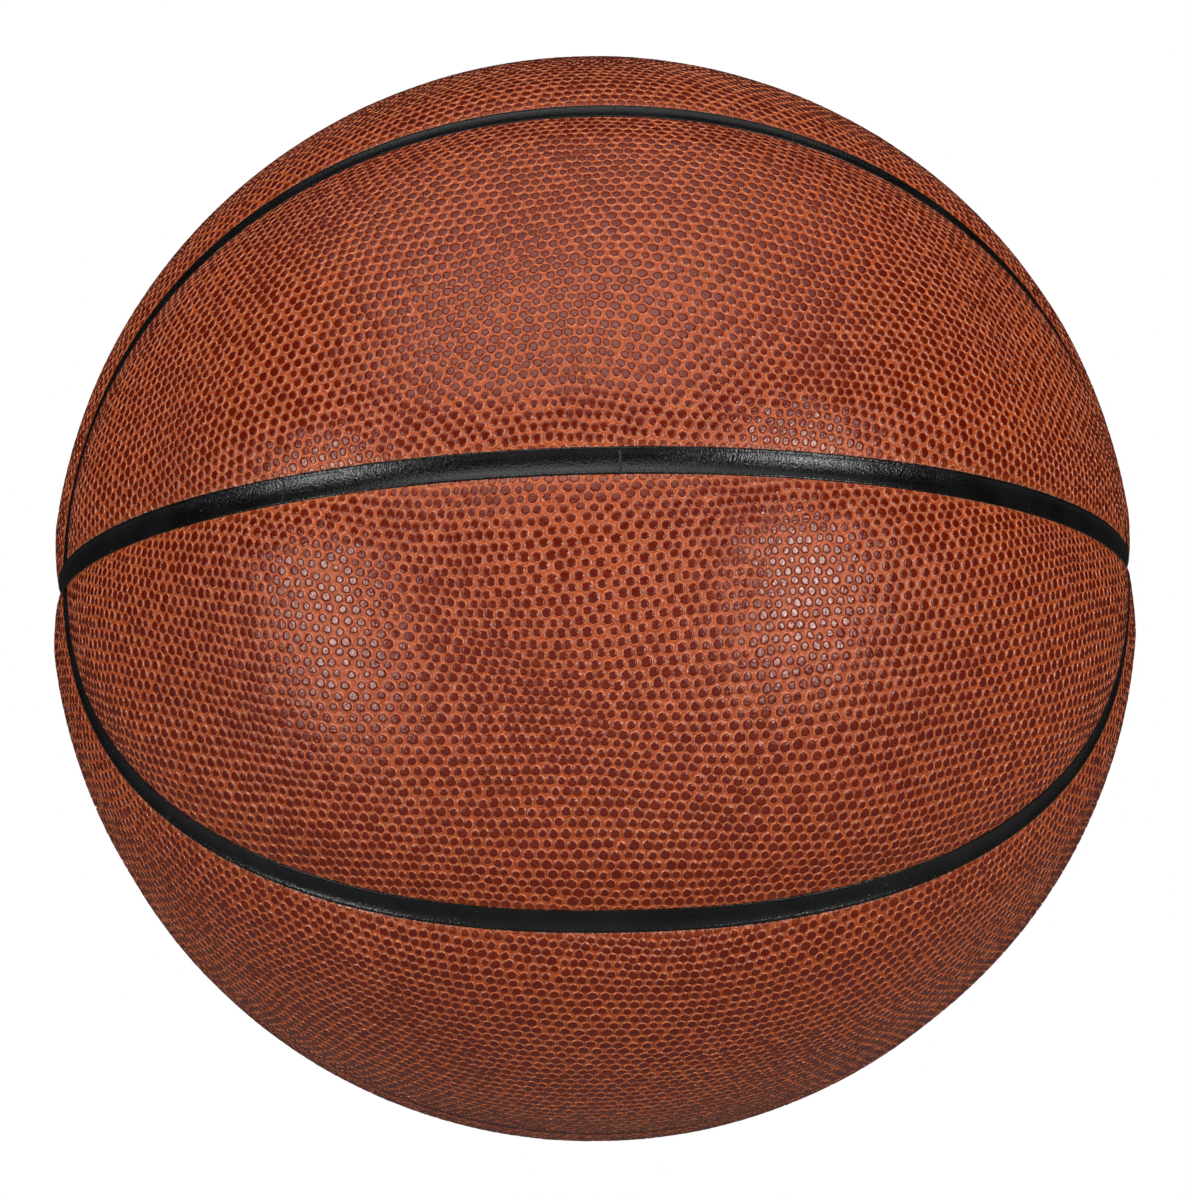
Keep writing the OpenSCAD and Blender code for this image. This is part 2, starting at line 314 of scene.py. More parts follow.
def wallDistances(n, outer, valve):
    # Arc length from each wall of the panel, and the direction that leads away from that wall
    ovalD, ovalPull = ovalDistance(n)
    turn = -1 if outer else 1
    found = [(np.arcsin(n[:, 2]) * ball["radius"], np.broadcast_to([0.0, 0, 1], n.shape)),
             (turn * ovalD, turn * ovalPull)]
    if outer:
        found.append((np.arcsin(-n[:, 1]) * ball["radius"], np.broadcast_to([0.0, -1, 0], n.shape)))
    d = np.stack([f[0] for f in found], 1) - ball["wall"]
    cut, pull = d.min(1), np.stack([f[1] for f in found], 1)[np.arange(len(n)), d.argmin(1)]
    if valve is not None:
        fromHole = np.arccos(np.clip(n @ valve, -1, 1)) * ball["radius"] - ball["valveHole"]
        near = fromHole < cut
        cut = np.minimum(cut, fromHole)
        pull = np.where(near[:, None], n - (n @ valve)[:, None] * valve, pull)
    return d, cut, pull


def shoulder(d):
    # Share of the shoulder's drop: (1 - d / w)^power beside each wall, combined so that no crease forms
    beside = (1 - np.clip(d / ball["shoulderWidth"], 0, 1)) ** ball["shoulderPower"]
    return 1 - np.prod(1 - beside, 1)


def enclosed(points, a, b):
    # Even-odd rule in the flat map: a point lies inside when the lines from a to b that cross its
    # height to the right of it are odd in number
    x, y = points[:, :1], points[:, 1:]
    rise = np.where(a[:, 1] == b[:, 1], 1, b[:, 1] - a[:, 1])
    crosses = (a[:, 1] <= y) != (b[:, 1] <= y)
    right = a[:, 0] + (y - a[:, 1]) / rise * (b[:, 0] - a[:, 0]) > x
    return (crosses & right).sum(1) % 2 == 1


def makeCover(name, place, outer, seed, withValve=False):
    # Point n of the unit ball at height h: h(n) n, where h is the crown less the shoulder, the lip's
    # drop, the padding's unevenness and the depth below a pebble's top
    s, rng = cover, np.random.default_rng(seed)
    tilt = math.radians(ball["outerMiddle" if outer else "innerMiddle"])
    ahead = np.array([0, -math.cos(tilt), math.sin(tilt)])
    upward = np.array([0, math.sin(tilt), math.cos(tilt)])
    valve = ahead if withValve else None

    def toBall(flat):
        # The panel's own map: longitude and latitude about a great circle along its middle
        lon, lat = (flat / ball["radius"]).T
        across, towards = np.cos(lat) * np.sin(lon), np.cos(lat) * np.cos(lon)
        return across[:, None] * [1, 0, 0] + towards[:, None] * ahead + np.sin(lat)[:, None] * upward

    def toMap(n):
        return np.stack([np.arctan2(n[:, 0], n @ ahead), np.arcsin(n @ upward)], 1) * ball["radius"]
    flat, faces, own, marks = pebbleLattice(rng, s["halfLengths"][outer], s["halfHeight"])
    inReach = wallDistances(toBall(flat[own]), outer, valve)[1] > -s["surround"] * s["pitch"]
    faces = faces[inReach].reshape(-1, 3)
    used, faces = np.unique(faces, return_inverse=True)
    faces, marks = faces.reshape(-1, 3), marks[used]
    n = toBall(flat[used])
    d, cut, pull = wallDistances(n, outer, valve)
    near = np.abs(cut) < s["snap"]
    side = unit(pull[near] - (pull[near] * n[near]).sum(1, keepdims=True) * n[near])
    n[near] = unit(n[near] - side * (cut[near] / ball["radius"])[:, None])
    cut[near] = 0
    faces, pairs = clipped(cut, faces)
    share = (cut[pairs[:, 0]] / (cut[pairs[:, 0]] - cut[pairs[:, 1]]))[:, None]

    def withNew(values):
        return np.concatenate([values, values[pairs[:, 0]] * (1 - share) + values[pairs[:, 1]] * share])
    n, marks = unit(withNew(n)), withNew(marks)
    used, faces = np.unique(faces, return_inverse=True)
    faces, n, marks = faces.reshape(-1, 3), n[used], marks[used]
    lip = openEdges(faces)
    short = lip[np.linalg.norm(n[lip[:, 0]] - n[lip[:, 1]], axis=1) * ball["radius"] < s["shortest"]]
    faces = joined(faces, short)
    for _ in range(s["foldPasses"]):
        faces = joined(faces, folds(n, openEdges(faces)))
    used, faces = np.unique(faces, return_inverse=True)
    faces, n, (pebble, tone, lean) = faces.reshape(-1, 3), n[used], marks[used].T
    lip, total = openEdges(faces), len(n)
    d, cut, _ = wallDistances(n, outer, valve)
    cut = np.maximum(cut, 0)
    lips = np.unique(lip)
    cut[lips] = 0
    flat = toMap(n)

    # Heights: crown, shoulder, lip, unevenness, and the pebbles, calmer near the lip
    calm = s["calmest"] + (1 - s["calmest"]) * np.clip(cut / s["calmWidth"], 0, 1)
    height = lean + np.interp(pebble, [lineMark, footMark, rimMark, middleMark],
                              [-s["relief"], -s["foot"], -s["dome"], 0])
    rest = -s["calmLevel"] * s["relief"]
    uneven = waveSum(waves(rng, *s["swellLengths"]), flat[:, 0], flat[:, 1])
    lowered = s["lipDrop"] * (1 - np.clip(cut / s["lipWidth"], 0, 1)) ** 2
    radius = s["crown"] - ball["shoulderDrop"] * shoulder(d) - lowered + rest + (height - rest) * calm
    radius += s["swell"] * (uneven - 1) / 2
    top = n * radius[:, None]

    # Wall down to the foam, and an underside on a coarse triangulation of the same outline. Its faces
    # are those within the outline; one that has a side on the outline is told by that side's direction
    order = np.full(total, -1)
    order[lips] = np.arange(len(lips))
    gap, longest, high = s["undersideGrid"], s["halfLengths"][1], s["halfHeight"]
    grid = np.stack(np.meshgrid(np.arange(-longest, longest + 1, gap), np.arange(-high, high + 1, gap)), -1)
    grid = grid.reshape(-1, 2)
    grid = grid[wallDistances(toBall(grid), outer, valve)[1] > gap / 2]
    outline = np.concatenate([flat[lips], grid])
    found = delaunay_2d_cdt(list(map(Vector, outline)), order[lip].tolist(), [], 0, s["closeness"], True)
    if len(found[0]) != len(outline):
        raise ValueError(f"{name}: the outline of the underside crosses itself")
    below = np.array(found[2])
    belowN = np.concatenate([n[lips], toBall(grid)])
    rim, key = order[lip], [len(outline), 1]
    sides = np.stack([below, np.roll(below, -1, 1)], -1) @ key
    within = enclosed(outline[below].mean(1), outline[rim[:, 0]], outline[rim[:, 1]])
    within &= ~np.isin(sides, rim[:, ::-1] @ key).any(1)
    below = below[within | np.isin(sides, rim @ key).any(1)]
    beside = np.clip(wallDistances(belowN, outer, valve)[0].min(1) / ball["shoulderWidth"], 0, 1)
    lowered = ball["shoulderDrop"] * np.interp(beside, *ball["foamShoulder"])
    belowR = ball["foamTop"] + s["underside"] - lowered
    points = np.concatenate([top, belowN * belowR[:, None]])
    a, b = lip[:, 0], lip[:, 1]
    lowA, lowB = order[a] + total, order[b] + total
    walls = np.concatenate([np.stack([b, a, lowA], 1), np.stack([b, lowA, lowB], 1)])
    under = below[:, ::-1] + total
    allFaces = np.concatenate([faces, walls, under])
    flatAll = np.concatenate([flat, outline])
    edge, (wallStep, wallHeight), (underAt, underHeight, half) = s["mapEdge"], s["mapWall"], s["mapUnder"]
    mapX = edge + (1 - 2 * edge) * (flatAll[:, 0] / longest + 1) / 2
    mapY = underAt + underHeight * (flatAll[:, 1] / half + 1) / 2
    wallY = edge + wallStep * (flatAll[walls].mean(1)[:, 1] > 0)[:, None] + wallHeight * (walls >= total)
    bakeMap = np.concatenate([
        foldedMap(flat[:, 0], flat[:, 1], faces, *s["mapTop"]),
        np.stack([mapX[walls], wallY], -1).reshape(-1, 2),
        np.stack([mapX[under], mapY[under]], -1).reshape(-1, 2)])
    smooth = np.arange(len(allFaces)) < len(faces)
    blank = np.zeros(len(outline))
    attributes = {
        "pebble": np.concatenate([pebble, blank]),
        "tone": np.concatenate([tone, blank + middleTone]),
        "lip": np.concatenate([cut, blank]),
    }
    creased = np.concatenate([np.abs(pebble - rimMark) < sameMark, np.zeros(len(outline), bool)])
    piece = makeMesh(name, points @ places[place].T, allFaces, smooth, attributes, bakeMap, creased)
    print(f"{name}: {len(allFaces)} triangles")
    return piece


# Channel strips, a hollow section carried along each seam

strip = {
    "halfWidth": 2.5,
    "edge": 109.72,           # radius of its edges
    "hollow": 0.62,           # mm from there to its middle line
    "hollowForm": (0.6, 0.4),   # shares of u^2 and u^4 in the section, u from -1 to 1
    "across": 13,             # points across the section
    "bevel": 0.12,
    "seat": 0.01,             # mm left over the carcass
    "step": 1.0,              # mm along the seam
    "lastStep": 0.3,          # of a step, the least that is left where a ring closes
    "endGap": 0.02,           # mm left at the middle strip
    "joint": 0.22,            # half width of a butt joint's groove
    "jointDepth": 0.08,
    "jointSteps": (-1.6, -1, -0.5, 0, 0.5, 1, 1.6),
    "uneven": 0.02,
    "unevenLengths": (9, 60, 10),
    "mapRows": 6,
}


def circlePath(start, sideways, length):
    # Great circle through start, with the fixed direction beside it
    start, sideways = np.array(start, float), np.array(sideways, float)
    forward = np.cross(sideways, start)

    def path(s):
        turn = (s / ball["radius"])[:, None]
        return np.cos(turn) * start + np.sin(turn) * forward, np.broadcast_to(sideways, (len(s), 3))
    return path, length


def ovalPath():
    # Upper half of the front oval seam, from where it clears the middle strip to where it meets it again
    stretches = np.linalg.norm(np.diff(seamPoints, axis=0), axis=1)
    turn = np.concatenate([[0], np.cumsum(stretches)]) * ball["radius"]
    clear = np.flatnonzero(seamPoints[:, 2] * strip["edge"] > ball["wall"])
    first, last = turn[clear[0]], turn[clear[-1]]

    def path(s):
        points = unit(np.stack([np.interp(s + first, turn, seamPoints[:, k]) for k in range(3)], 1))
        beside = np.stack([np.interp(s + first, turn, seamInward[:, k]) for k in range(3)], 1)
        return points, unit(beside - (beside * points).sum(1, keepdims=True) * points)
    return path, last - first


def makeStrip(name, place, route, joints, seed, closed=False):
    # Point (s, u) of the strip: r(u) (cos(u / R) p(s) + sin(u / R) m(s)), with p the seam, m the
    # direction beside it, and r the section's radius, which is lower in the middle and at a joint
    s, (path, length) = strip, route
    u = np.linspace(-1, 1, s["across"])
    second, fourth = s["hollowForm"]
    upper = s["edge"] - s["hollow"] * (1 - (second * u ** 2 + fourth * u ** 4))
    inner = 1 - s["bevel"] / s["halfWidth"]
    u = np.concatenate([[-1, -1], u * inner, [1, 1]]) * s["halfWidth"]
    side = [ball["carcassTop"] + s["seat"], s["edge"] - s["bevel"]]
    upper = np.concatenate([side, upper, side[::-1]])
    onTop = np.arange(len(u))
    onTop = (onTop > 0) & (onTop < len(u) - 1)
    at = np.linspace(0, length, int(length / s["step"]) + 1)
    joints = np.array(joints)
    extra = (joints[:, None] + np.array(s["jointSteps"]) * s["joint"]).ravel()
    at = at[np.abs(at[:, None] - joints).min(1) > 2 * s["joint"]]
    at = np.sort(np.concatenate([at, extra]))
    if closed:
        at = at[at < length - s["lastStep"] * s["step"]]
    p, m = path(at)
    groove = s["jointDepth"] * (1 - np.clip(np.abs(at[:, None] - joints).min(1) / s["joint"], 0, 1))
    rng = np.random.default_rng(seed)
    uneven = waveSum(waves(rng, *s["unevenLengths"]), at, 0 * at) * s["uneven"]
    radius = upper + onTop * (uneven - groove)[:, None]
    angle = (u / ball["radius"])[None, :, None]
    points = radius[..., None] * (np.cos(angle) * p[:, None] + np.sin(angle) * m[:, None])
    steps, sides = points.shape[:2]
    i, k = np.meshgrid(np.arange(steps if closed else steps - 1), np.arange(sides), indexing="ij")
    i2, k2 = (i + 1) % steps, (k + 1) % sides
    quad = np.stack([i * sides + k, i2 * sides + k, i2 * sides + k2, i * sides + k2], -1).reshape(-1, 4)
    smooth = np.broadcast_to((k > 0) & (k < sides - 2), k.shape).ravel()
    faces = np.concatenate([quad[:, [0, 1, 2]], quad[:, [0, 2, 3]]])
    smooth = np.concatenate([smooth, smooth])
    # The side on the carcass closes the body, and so do the two ends
    if not closed:
        fan = np.arange(1, sides - 1)
        near = np.stack([0 * fan, fan, fan + 1], 1)
        faces = np.concatenate([faces, near, near[:, ::-1] + (steps - 1) * sides])
        smooth = np.concatenate([smooth, np.zeros(2 * len(fan), bool)])
    acrossAt = np.concatenate([[0], np.cumsum(np.hypot(np.diff(u), np.diff(upper)))])
    along = np.repeat(at, sides)
    across = np.tile(acrossAt, steps)
    # Where the band closes on itself, its last faces run past the end instead of back to the start
    flatAlong, flatAcross = along[faces], across[faces]
    if closed:
        behind = flatAlong.max(1, keepdims=True) - flatAlong > length / 2
        flatAlong = np.where(behind, flatAlong + length, flatAlong)
    under = ((faces % sides).max(1) == sides - 1) & ((faces % sides).min(1) == 0)
    wrapped = under[:, None] & (faces % sides == 0)
    flatAcross = np.where(wrapped, acrossAt[-1] + 2 * s["halfWidth"], flatAcross)
    corner = np.arange(faces.size).reshape(-1, 3)
    bakeMap = foldedMap(flatAlong.ravel(), flatAcross.ravel(), corner, s["mapRows"], 0, 1)
    points = points.reshape(-1, 3)
    attributes = {"joint": np.repeat(groove / s["jointDepth"], sides)}
    piece = makeMesh(name, points @ places[place].T, faces, smooth, attributes, bakeMap)
    print(f"{name}: {len(faces)} triangles")
    return piece


# Materials

class Num:
    # A socket that Python's operators work on, each adding its Math node
    def __init__(self, graph, socket):
        self.graph, self.socket = graph, socket

    def math(self, operation, *others):
        made = self.graph.add("ShaderNodeMath", {"operation": operation}, *(self, *others))
        return Num(self.graph, made.outputs[0])

    def __add__(self, other):
        return self.math("ADD", other)

    def __sub__(self, other):
        return self.math("SUBTRACT", other)

    def __rsub__(self, other):
        return self.math("MULTIPLY", -1) + other

    def __mul__(self, other):
        return self.math("MULTIPLY", other)

    __radd__, __rmul__ = __add__, __mul__

    def between(self, low, high, start=0, end=1):
        # 0 to 1 with soft ends while the value goes from low to high
        made = self.graph.add("ShaderNodeMapRange", {"interpolation_type": "SMOOTHSTEP"},
                              self, low, high, start, end)
        return Num(self.graph, made.outputs[0])


class Finish:
    # One material's nodes round a Principled shader
    def __init__(self, name, **fixed):
        self.material = bpy.data.materials.new(name)
        self.material.use_nodes = True
        self.tree = self.material.node_tree
        self.shader = self.tree.nodes["Principled BSDF"]
        for key, value in fixed.items():
            self.shader.inputs[key.replace("_", " ")].default_value = value
        self.place = self.add("ShaderNodeTexCoord", {}).outputs["Object"]

    def add(self, kind, settings, *inOrder, **named):
        # A node with its settings first, then the values or links of its sockets
        node = self.tree.nodes.new(kind)
        for key, value in settings.items():
            setattr(node, key, value)
        for key, value in [*enumerate(inOrder), *((k.replace("_", " "), v) for k, v in named.items())]:
            socket = value.socket if isinstance(value, Num) else value
            if isinstance(socket, bpy.types.NodeSocket):
                self.tree.links.new(socket, node.inputs[key])
            else:
                node.inputs[key].default_value = socket
        return node

    def attribute(self, name):
        # A value that the points of the mesh carry
        return Num(self, self.add("ShaderNodeAttribute", {"attribute_name": name}).outputs["Fac"])

    def noise(self, size, detail=2, rough=0.5):
        # Noise with grains of about this size in mm
        made = self.add("ShaderNodeTexNoise", {}, Vector=self.place, Scale=1 / (size * mm), Detail=detail,
                        Roughness=rough)
        return Num(self, made.outputs["Fac"])

    def cells(self, size):
        # Distance from the middle of the nearest grain of about this size in mm
        made = self.add("ShaderNodeTexVoronoi", {}, Vector=self.place, Scale=1 / (size * mm))
        return Num(self, made.outputs["Distance"])

    def mix(self, share, first, second):
        # Colour: first + share * (second - first)
        made = self.add("ShaderNodeMix", {"data_type": "RGBA"})
        for index, value in ((0, share), (6, first), (7, second)):     # the colour mix's own sockets
            socket = value.socket if isinstance(value, Num) else value
            if isinstance(socket, bpy.types.NodeSocket):
                self.tree.links.new(socket, made.inputs[index])
            elif isinstance(socket, tuple):
                made.inputs[index].default_value = (*socket, 1)
            else:
                made.inputs[index].default_value = socket
        return made.outputs[2]

    def drive(self, **inputs):
        # Links into the Principled shader, which ends the material
        for key, value in inputs.items():
            socket = value.socket if isinstance(value, Num) else value
            self.tree.links.new(socket, self.shader.inputs[key.replace("_", " ")])
        return self.material

    def bump(self, height, depth, strength=1.0, under=None):
        # A bump of this many mm
        values = {"Height": height, "Distance": depth * mm, "Strength": strength}
        if under is not None:
            values["Normal"] = under
        return self.add("ShaderNodeBump", {}, **values).outputs["Normal"]


leather = {
    "net": (0.37, 0.044, 0.006),
    "netPale": (0.66, 0.118, 0.022),
    "top": (0.142, 0.006, 0.0006),
    "topWarm": (0.245, 0.022, 0.002),
    "edge": (0.92, 0.32, 0.14),    # pale line where a pebble's side meets its top: partly wear, partly a painted highlight on its shoulder
    "lip": (0.60, 0.33, 0.22),
    "netRoughness": 0.33,
    "topRoughness": 0.14,
    "unevenGloss": 0.16,
    "specular": 0.8,
    "tint": (1, 0.77, 0.70, 1),
    "fine": (0.3, 1, 0.5),         # noises: size in mm, detail, roughness
    "grit": (0.6, 1, 0.7),
    "broad": (17, 2),
    "wear": (0.9, 3, 0.7),
    "bevel": 0.19,                 # of the pebble mark, the rounded border of a top
    "inked": 0.41,                 # pebble mark at which its dark middle ends
    "inkEdge": 0.03,
    "ragged": (0.12, 0.05),        # weights of the fine noise and the tone in that end
    "paleNear": 2.0,               # mm from the lip within which the dark middles pale
    "paler": 0.4,
    "topBlend": (0.5, 0.4, 2.2, 0.05),   # weights of tone, broad and fine noise, and a start
    "netBlend": (0.6, 1.0, 0.5, 0.2),    # of grit, fine and broad noise, and a start
    "netSpots": (0.35, 0.65),
    "edgeMarks": (0.1, 0.22),      # pebble marks between which the pale line of wear and painted highlight comes up
    "edgeSpots": (0.35, 0.6, 0.3),
    "edgeShare": 0.9,
    "lipWidth": (0.03, 0.3),       # mm over which the paler colour at the lip fades
    "lipSpots": (0.46, 0.58),
    "lipShare": 0.75,
    "glossMarks": (0.1, 0.4),
    "rounding": 0.13,              # mm of bump, also the two below
    "coarseness": 0.15,
    "grain": 0.06,
    "onTops": (0.25, 0.7),         # what is left of those two on a dark middle
}


def leatherFinish():
    # The pebble mark parts the pale net from the dark, glossier tops, with a pale line between them that is
    # partly wear and partly a painted highlight
    s = leather
    f = Finish("pebbledLeather", Specular_IOR_Level=s["specular"], Specular_Tint=s["tint"])
    pebble, tone, lip = f.attribute("pebble"), f.attribute("tone"), f.attribute("lip")
    fine, grit, broad = f.noise(*s["fine"]), f.noise(*s["grit"]), f.noise(*s["broad"])
    byFine, byTone = s["ragged"]
    ragged = pebble + (fine - 0.5) * byFine + (tone - 0.5) * byTone
    top = ragged.between(s["inked"] - s["inkEdge"], s["inked"] + s["inkEdge"])
    near = lip.between(0, s["paleNear"])
    byTone, byBroad, byFine, start = s["topBlend"]
    warm = tone * byTone + (broad - 0.5) * byBroad + (fine - 0.5) * byFine + start
    topColour = f.mix(warm, s["top"], s["topWarm"])
    byGrit, byFine, byBroad, start = s["netBlend"]
    spots = grit.between(*s["netSpots"])
    blotchy = spots * byGrit + (fine - 0.5) * byFine + (broad - 0.5) * byBroad + start
    netColour = f.mix(blotchy, s["net"], s["netPale"])
    # Pale line on the pebbles' sides: partly wear, partly a painted highlight on their shoulders
    edge = pebble.between(*s["edgeMarks"]) * (1 - top) * grit.between(*s["edgeSpots"])
    colour = f.mix(edge * s["edgeShare"], netColour, s["edge"])
    colour = f.mix(top * (near * s["paler"] + (1 - s["paler"])), colour, topColour)
    # Paler colour in spots within a fraction of a mm of the lip
    paleAtLip = (1 - lip.between(*s["lipWidth"])) * f.noise(*s["wear"]).between(*s["lipSpots"])
    colour = f.mix(paleAtLip * s["lipShare"], colour, s["lip"])
    dull = (1 - pebble.between(*s["glossMarks"])) * (s["netRoughness"] - s["topRoughness"])
    rough = dull + s["topRoughness"] + (fine - 0.5) * s["unevenGloss"]
    fall = ((rimMark + s["bevel"] - pebble) * (1 / s["bevel"])).math("MAXIMUM", 0).math("MINIMUM", 1)
    coarseLeft, grainLeft = s["onTops"]
    rounded = f.bump(1 - fall * fall, s["rounding"])
    coarse = f.bump(grit * (1 - top * (1 - coarseLeft)), s["coarseness"], 0.8, rounded)
    grain = f.bump(fine * (1 - top * (1 - grainLeft)), s["grain"], 1.0, coarse)
    return f.drive(Base_Color=colour, Roughness=rough, Normal=grain)


rubber = {
    "black": (0.003, 0.003, 0.0035),
    "grey": (0.008, 0.008, 0.009),
    "inJoint": (0.002, 0.002, 0.002),
    "dust": (0.42, 0.41, 0.39),
    "specular": 0.5,
    "fine": (0.3, 0.5, 0.6),       # noises: size in mm, detail, roughness
    "broad": (9, 2),
    "dusty": (5, 1),
    "grains": 0.5,                 # mm
    "specks": 1.5,                 # mm from one speck of dust to the next
    "speckSize": (0.04, 0.08),     # of that
    "dustSpots": (0.54, 0.64),
    "greySpots": (0.3, 0.75),
    "jointShare": 0.7,
    "roughness": (0.1, 0.15, 0.25, 0.6),   # least, and what broad noise, fine noise and a joint add
    "roughSpots": (0.3, 0.7),
    "fineDepth": 0.07,             # mm of bump, also the next
    "grainDepth": 0.03,
}


def stripFinish():
    # Black in two tones with a fine grain, a little dust, and dull in the joints
    s = rubber
    f = Finish("channelRubber", Specular_IOR_Level=s["specular"])
    joint, grains, specks = f.attribute("joint"), f.cells(s["grains"]), f.cells(s["specks"])
    fine, broad = f.noise(*s["fine"]), f.noise(*s["broad"])
    dust = (1 - specks.between(*s["speckSize"])) * f.noise(*s["dusty"]).between(*s["dustSpots"])
    colour = f.mix(broad.between(*s["greySpots"]), s["black"], s["grey"])
    colour = f.mix(joint * s["jointShare"], colour, s["inJoint"])
    colour = f.mix(dust, colour, s["dust"])
    least, byBroad, byFine, byJoint = s["roughness"]
    rough = (broad - 0.5) * byBroad + fine.between(*s["roughSpots"]) * byFine + joint * byJoint + least
    bumped = f.bump(fine, s["fineDepth"], 1.0, f.bump(grains, s["grainDepth"], 1.0))
    return f.drive(Base_Color=colour, Roughness=rough, Normal=bumped)


layer = {
    "drift": (18, 2),              # noise of the two tones: size in mm, detail
    "driftEdge": (0.35, 0.65),
    "fine": (3, 0.6),              # detail and roughness of the grain
    "unevenGloss": 0.2,
    "bumpShare": 0.8,
}


def plainFinish(name, colour, second, roughness, grain, depth):
    # For the layers inside: two tones in drifts and a grain of the given size in mm
    s, f = layer, Finish(name)
    fine, broad = f.noise(grain, *s["fine"]), f.noise(*s["drift"])
    rough = (fine - 0.5) * s["unevenGloss"] + roughness
    return f.drive(Base_Color=f.mix(broad.between(*s["driftEdge"]), colour, second), Roughness=rough,
                   Normal=f.bump(fine, depth, s["bumpShare"]))


thread = {
    "turns": ((0.5, 0.2, 0.0), (-0.4, 0.7, 1.1)),   # of the two courses, in radians
    "spacing": 3,                  # mm
    "stray": 0.6,
    "low": (0.42, 0.41, 0.37),
    # colours in the valleys and on the ridges: the darker valleys are painted shade
    "high": (0.72, 0.71, 0.66),
    "roughness": (0.6, -0.2),      # in the valleys, and what is added on the ridges
    "depth": 0.2,
}


def threadFinish():
    # Nylon wound in crossing courses: two fine waves at an angle, laid over each other; the colour is
    # darker in the valleys as painted shade
    s, f = thread, Finish("woundThread")
    heights = []
    for turn in s["turns"]:
        laid = f.add("ShaderNodeMapping", {}, Vector=f.place, Rotation=turn).outputs["Vector"]
        made = f.add("ShaderNodeTexWave", {"wave_profile": "SIN"}, Vector=laid, Distortion=s["stray"],
                     Scale=1 / (s["spacing"] * mm), Detail=1)
        heights.append(Num(f, made.outputs["Fac"]))
    over = heights[0].math("MAXIMUM", heights[1])
    low, ridge = s["roughness"]
    # Darker in the valleys between the threads: painted shade
    colour = f.mix(over, s["low"], s["high"])
    return f.drive(Base_Color=colour, Roughness=over * ridge + low, Normal=f.bump(over, s["depth"]))


# The ball

leatherMaterial, rubberMaterial = leatherFinish(), stripFinish()
covers = [
    ("front_upper", "front_upper", False), ("front_lower", "front_lower", False),
    ("back_upper", "back_upper", False), ("back_lower", "back_lower", False),
    ("front_top", "front_upper", True), ("front_bottom", "front_lower", True),
    ("back_top", "back_upper", True), ("back_bottom", "back_lower", True),
]
for seed, (name, place, outer) in enumerate(covers):
    piece = makeCover("pebbled_cover_" + name, place, outer, 11 + seed, name == "back_top")
    piece.data.materials.append(leatherMaterial)
    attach(piece, "root")
    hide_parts("cover_" + name)

girth = 2 * math.pi * ball["radius"]
reach = math.acos((ball["wall"] + strip["endGap"]) / strip["edge"])
quarter = reach * ball["radius"]
halfRing = circlePath([-math.sin(reach), 0, math.cos(reach)], [0, 1, 0], 2 * quarter)
middleJoints = [0.3, girth - 64.6, 0.36 * girth, 0.62 * girth]
strips = [
    # name, place, route, where its joints are along it in mm, whether it closes on itself
    ("middle", "front_upper", circlePath([0, -1, 0], [0, 0, 1], girth), middleJoints, True),
    ("over_top", "front_upper", halfRing, [0.31 * quarter, 1.4 * quarter], False),
    ("under_bottom", "front_lower", halfRing, [0.8 * quarter, 1.7 * quarter], False),
    ("front_upper", "front_upper", ovalPath(), [118.6, 154.5], False),
    ("front_lower", "front_lower", ovalPath(), [60.0], False),
    ("back_upper", "back_upper", ovalPath(), [110.0], False),
    ("back_lower", "back_lower", ovalPath(), [150.0], False),
]
for seed, (name, place, route, joints, closed) in enumerate(strips):
    piece = makeStrip("channel_strip_" + name, place, route, joints, 31 + seed, closed)
    piece.data.materials.append(rubberMaterial)
    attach(piece, "root")
    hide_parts("strip_" + name)

inside = {
    # name, two tones, roughness, size of the grain and depth of its bump in mm
    "foam": plainFinish("padFoam", (0.62, 0.52, 0.34), (0.70, 0.60, 0.42), 0.85, 0.5, 0.08),
    "carcass": plainFinish("carcassRubber", (0.03, 0.03, 0.032), (0.05, 0.05, 0.052), 0.6, 0.8, 0.05),
    "thread": threadFinish(),
    "bladder": plainFinish("bladderRubber", (0.018, 0.018, 0.02), (0.03, 0.03, 0.032), 0.45, 1.2, 0.04),
    "valve": plainFinish("valveRubber", (0.014, 0.014, 0.015), (0.024, 0.024, 0.025), 0.5, 0.4, 0.03),
}
for name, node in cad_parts.items():
    kind = name.split("_")[0]
    finish = inside.get(kind, leatherMaterial if kind == "cover" else rubberMaterial)
    node.data.materials.clear()
    node.data.materials.append(finish)
print("inner layers dressed")

# Camera, light and floor

shot = {
    "distance": 6.5,                     # in radii of the ball
    "turn": (12.9, -2.45, -1.12),        # rotation vector in degrees: right, up, towards the viewer
    "focal": 3493.0,                     # in pixels of the size below
    "sensor": 36,
    "size": (1192, 1200),
    "centre": (594.3, 599.0),
    "clip": (0.01, 50),
}


def toRow(v):
    # A viewer's right, up and towards are the row's +X, +Z and -Y
    return Vector((v[0], -v[2], v[1]))


turn = Vector(shot["turn"])
turned = Matrix.Rotation(math.radians(turn.length), 3, turn.normalized())
right, upward, back = (toRow(turned @ Vector(v)) for v in ((1, 0, 0), (0, 1, 0), (0, 0, 1)))
camera = bpy.data.objects.new("camera", bpy.data.cameras.new("camera"))
bpy.context.scene.collection.objects.link(camera)
bpy.context.scene.camera = camera
camera.data.sensor_width = shot["sensor"]
camera.data.lens = shot["focal"] * shot["sensor"] / shot["size"][1]
camera.data.shift_x = (shot["size"][0] / 2 - shot["centre"][0]) / shot["size"][1]
camera.data.shift_y = -(shot["size"][1] / 2 - shot["centre"][1]) / shot["size"][1]
place = Matrix((right, upward, back)).transposed().to_4x4()
place.translation = back * shot["distance"] * ball["radius"] * mm
camera.matrix_world = place
camera.data.clip_start, camera.data.clip_end = shot["clip"]

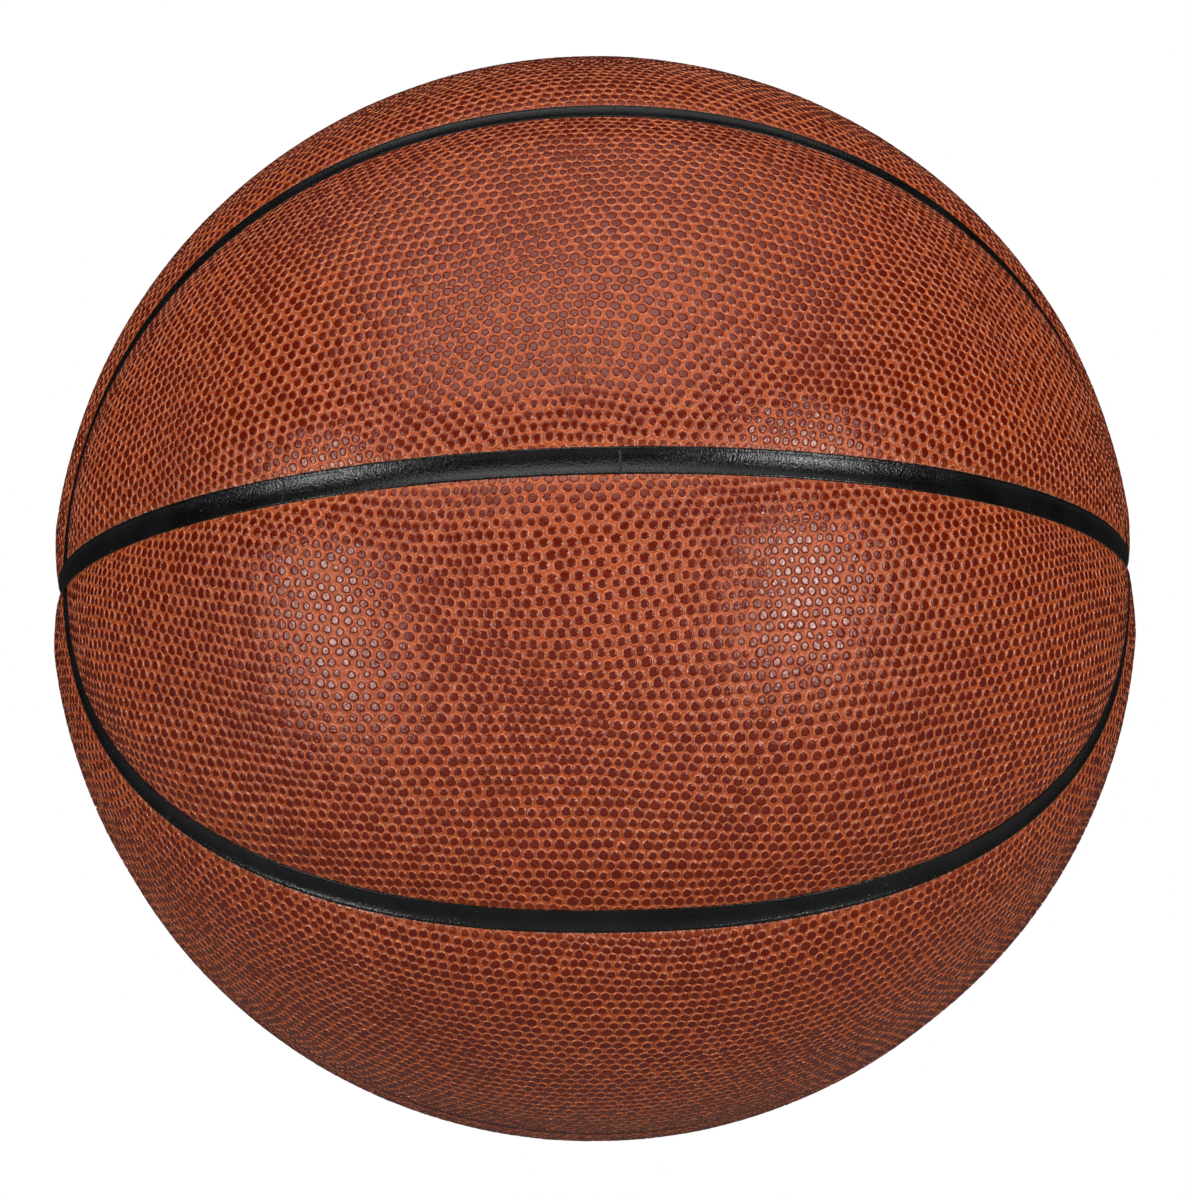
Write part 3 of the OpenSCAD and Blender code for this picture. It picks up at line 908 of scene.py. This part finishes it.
lamps = [
    # name, direction from the ball seen from the camera (right, up, towards it), distance, size, watts;
    # the ball hides the back box from the camera, so it only lights views from behind
    ("leftBox", (-0.79, -0.05, 0.61), 1.3, (0.23, 0.80), 6.4),
    ("rightBox", (0.66, 0.07, 0.75), 1.3, (0.25, 0.74), 8.1),
    ("topBox", (-0.14, 0.79, 0.60), 1.3, (1.25, 0.95), 5.2),
    ("roofBox", (0.0, 0.98, 0.20), 1.5, (2.4, 1.6), 7.1),
    ("backBox", (0.0, 0.0, -1.0), 0.9, (0.2, 0.2), 3.6),
    ("lowFill", (0.0, -0.45, 0.89), 1.7, (3.4, 2.0), 2.6),
]
for name, (x, y, z), distance, size, watts in lamps:
    lamp = bpy.data.objects.new(name, bpy.data.lights.new(name, "AREA"))
    lamp.data.shape, lamp.data.size, lamp.data.size_y = "RECTANGLE", *size
    lamp.data.energy = watts
    aim = (right * x + upward * y + back * z).normalized()
    lamp.location = aim * distance
    lamp.rotation_mode = "QUATERNION"
    lamp.rotation_quaternion = aim.to_track_quat("Z", "Y")
    bpy.context.scene.collection.objects.link(lamp)

# Away from the camera's own view the room is dark above and as pale as the lit floor below
room = {"From Min": -0.55, "From Max": 0.25, "To Min": 0.15, "To Max": 0.015}
world = bpy.data.worlds.new("studio")
bpy.context.scene.world = world
world.use_nodes = True
tree = world.node_tree
view = tree.nodes.new("ShaderNodeTexCoord")
parts = tree.nodes.new("ShaderNodeSeparateXYZ")
fade = tree.nodes.new("ShaderNodeMapRange")
fade.interpolation_type = "SMOOTHSTEP"
for key, value in room.items():
    fade.inputs[key].default_value = value
rays = tree.nodes.new("ShaderNodeLightPath")
blend = tree.nodes.new("ShaderNodeMix")
blend.data_type = "RGBA"
blend.inputs[7].default_value = (1, 1, 1, 1)
tree.links.new(view.outputs["Generated"], parts.inputs[0])
tree.links.new(parts.outputs["Z"], fade.inputs[0])
tree.links.new(fade.outputs[0], blend.inputs[6])
tree.links.new(rays.outputs["Is Camera Ray"], blend.inputs[0])
tree.links.new(blend.outputs[2], tree.nodes["Background"].inputs["Color"])

# Pale floor under the ball, seen from above only: the view from below passes through it, and the
# light that it would throw back comes from the world
ground = {"half": 3.0, "colour": (0.8, 0.8, 0.8, 1), "roughness": 0.9}
floorMesh = bpy.data.meshes.new("floor")
side, level = ground["half"], -ball["radius"] * mm
corners = [(-side, -side, level), (side, -side, level), (side, side, level), (-side, side, level)]
floorMesh.from_pydata(corners, [], [(0, 1, 2, 3)])
floor = bpy.data.objects.new("floor", floorMesh)
bpy.context.scene.collection.objects.link(floor)
paint = Finish("floorPaint", Roughness=ground["roughness"], Base_Color=ground["colour"])
below = Num(paint, paint.add("ShaderNodeNewGeometry", {}).outputs["Backfacing"])
seen = Num(paint, paint.add("ShaderNodeLightPath", {}).outputs["Is Camera Ray"])
clear = paint.add("ShaderNodeBsdfTransparent", {}).outputs[0]
both = paint.add("ShaderNodeMixShader", {}, below.math("MAXIMUM", 1 - seen), paint.shader.outputs[0], clear)
paint.tree.links.new(both.outputs[0], paint.tree.nodes["Material Output"].inputs["Surface"])
floorMesh.materials.append(paint.material)
bpy.context.scene.view_settings.view_transform = "Standard"
print("camera, light and floor in place")
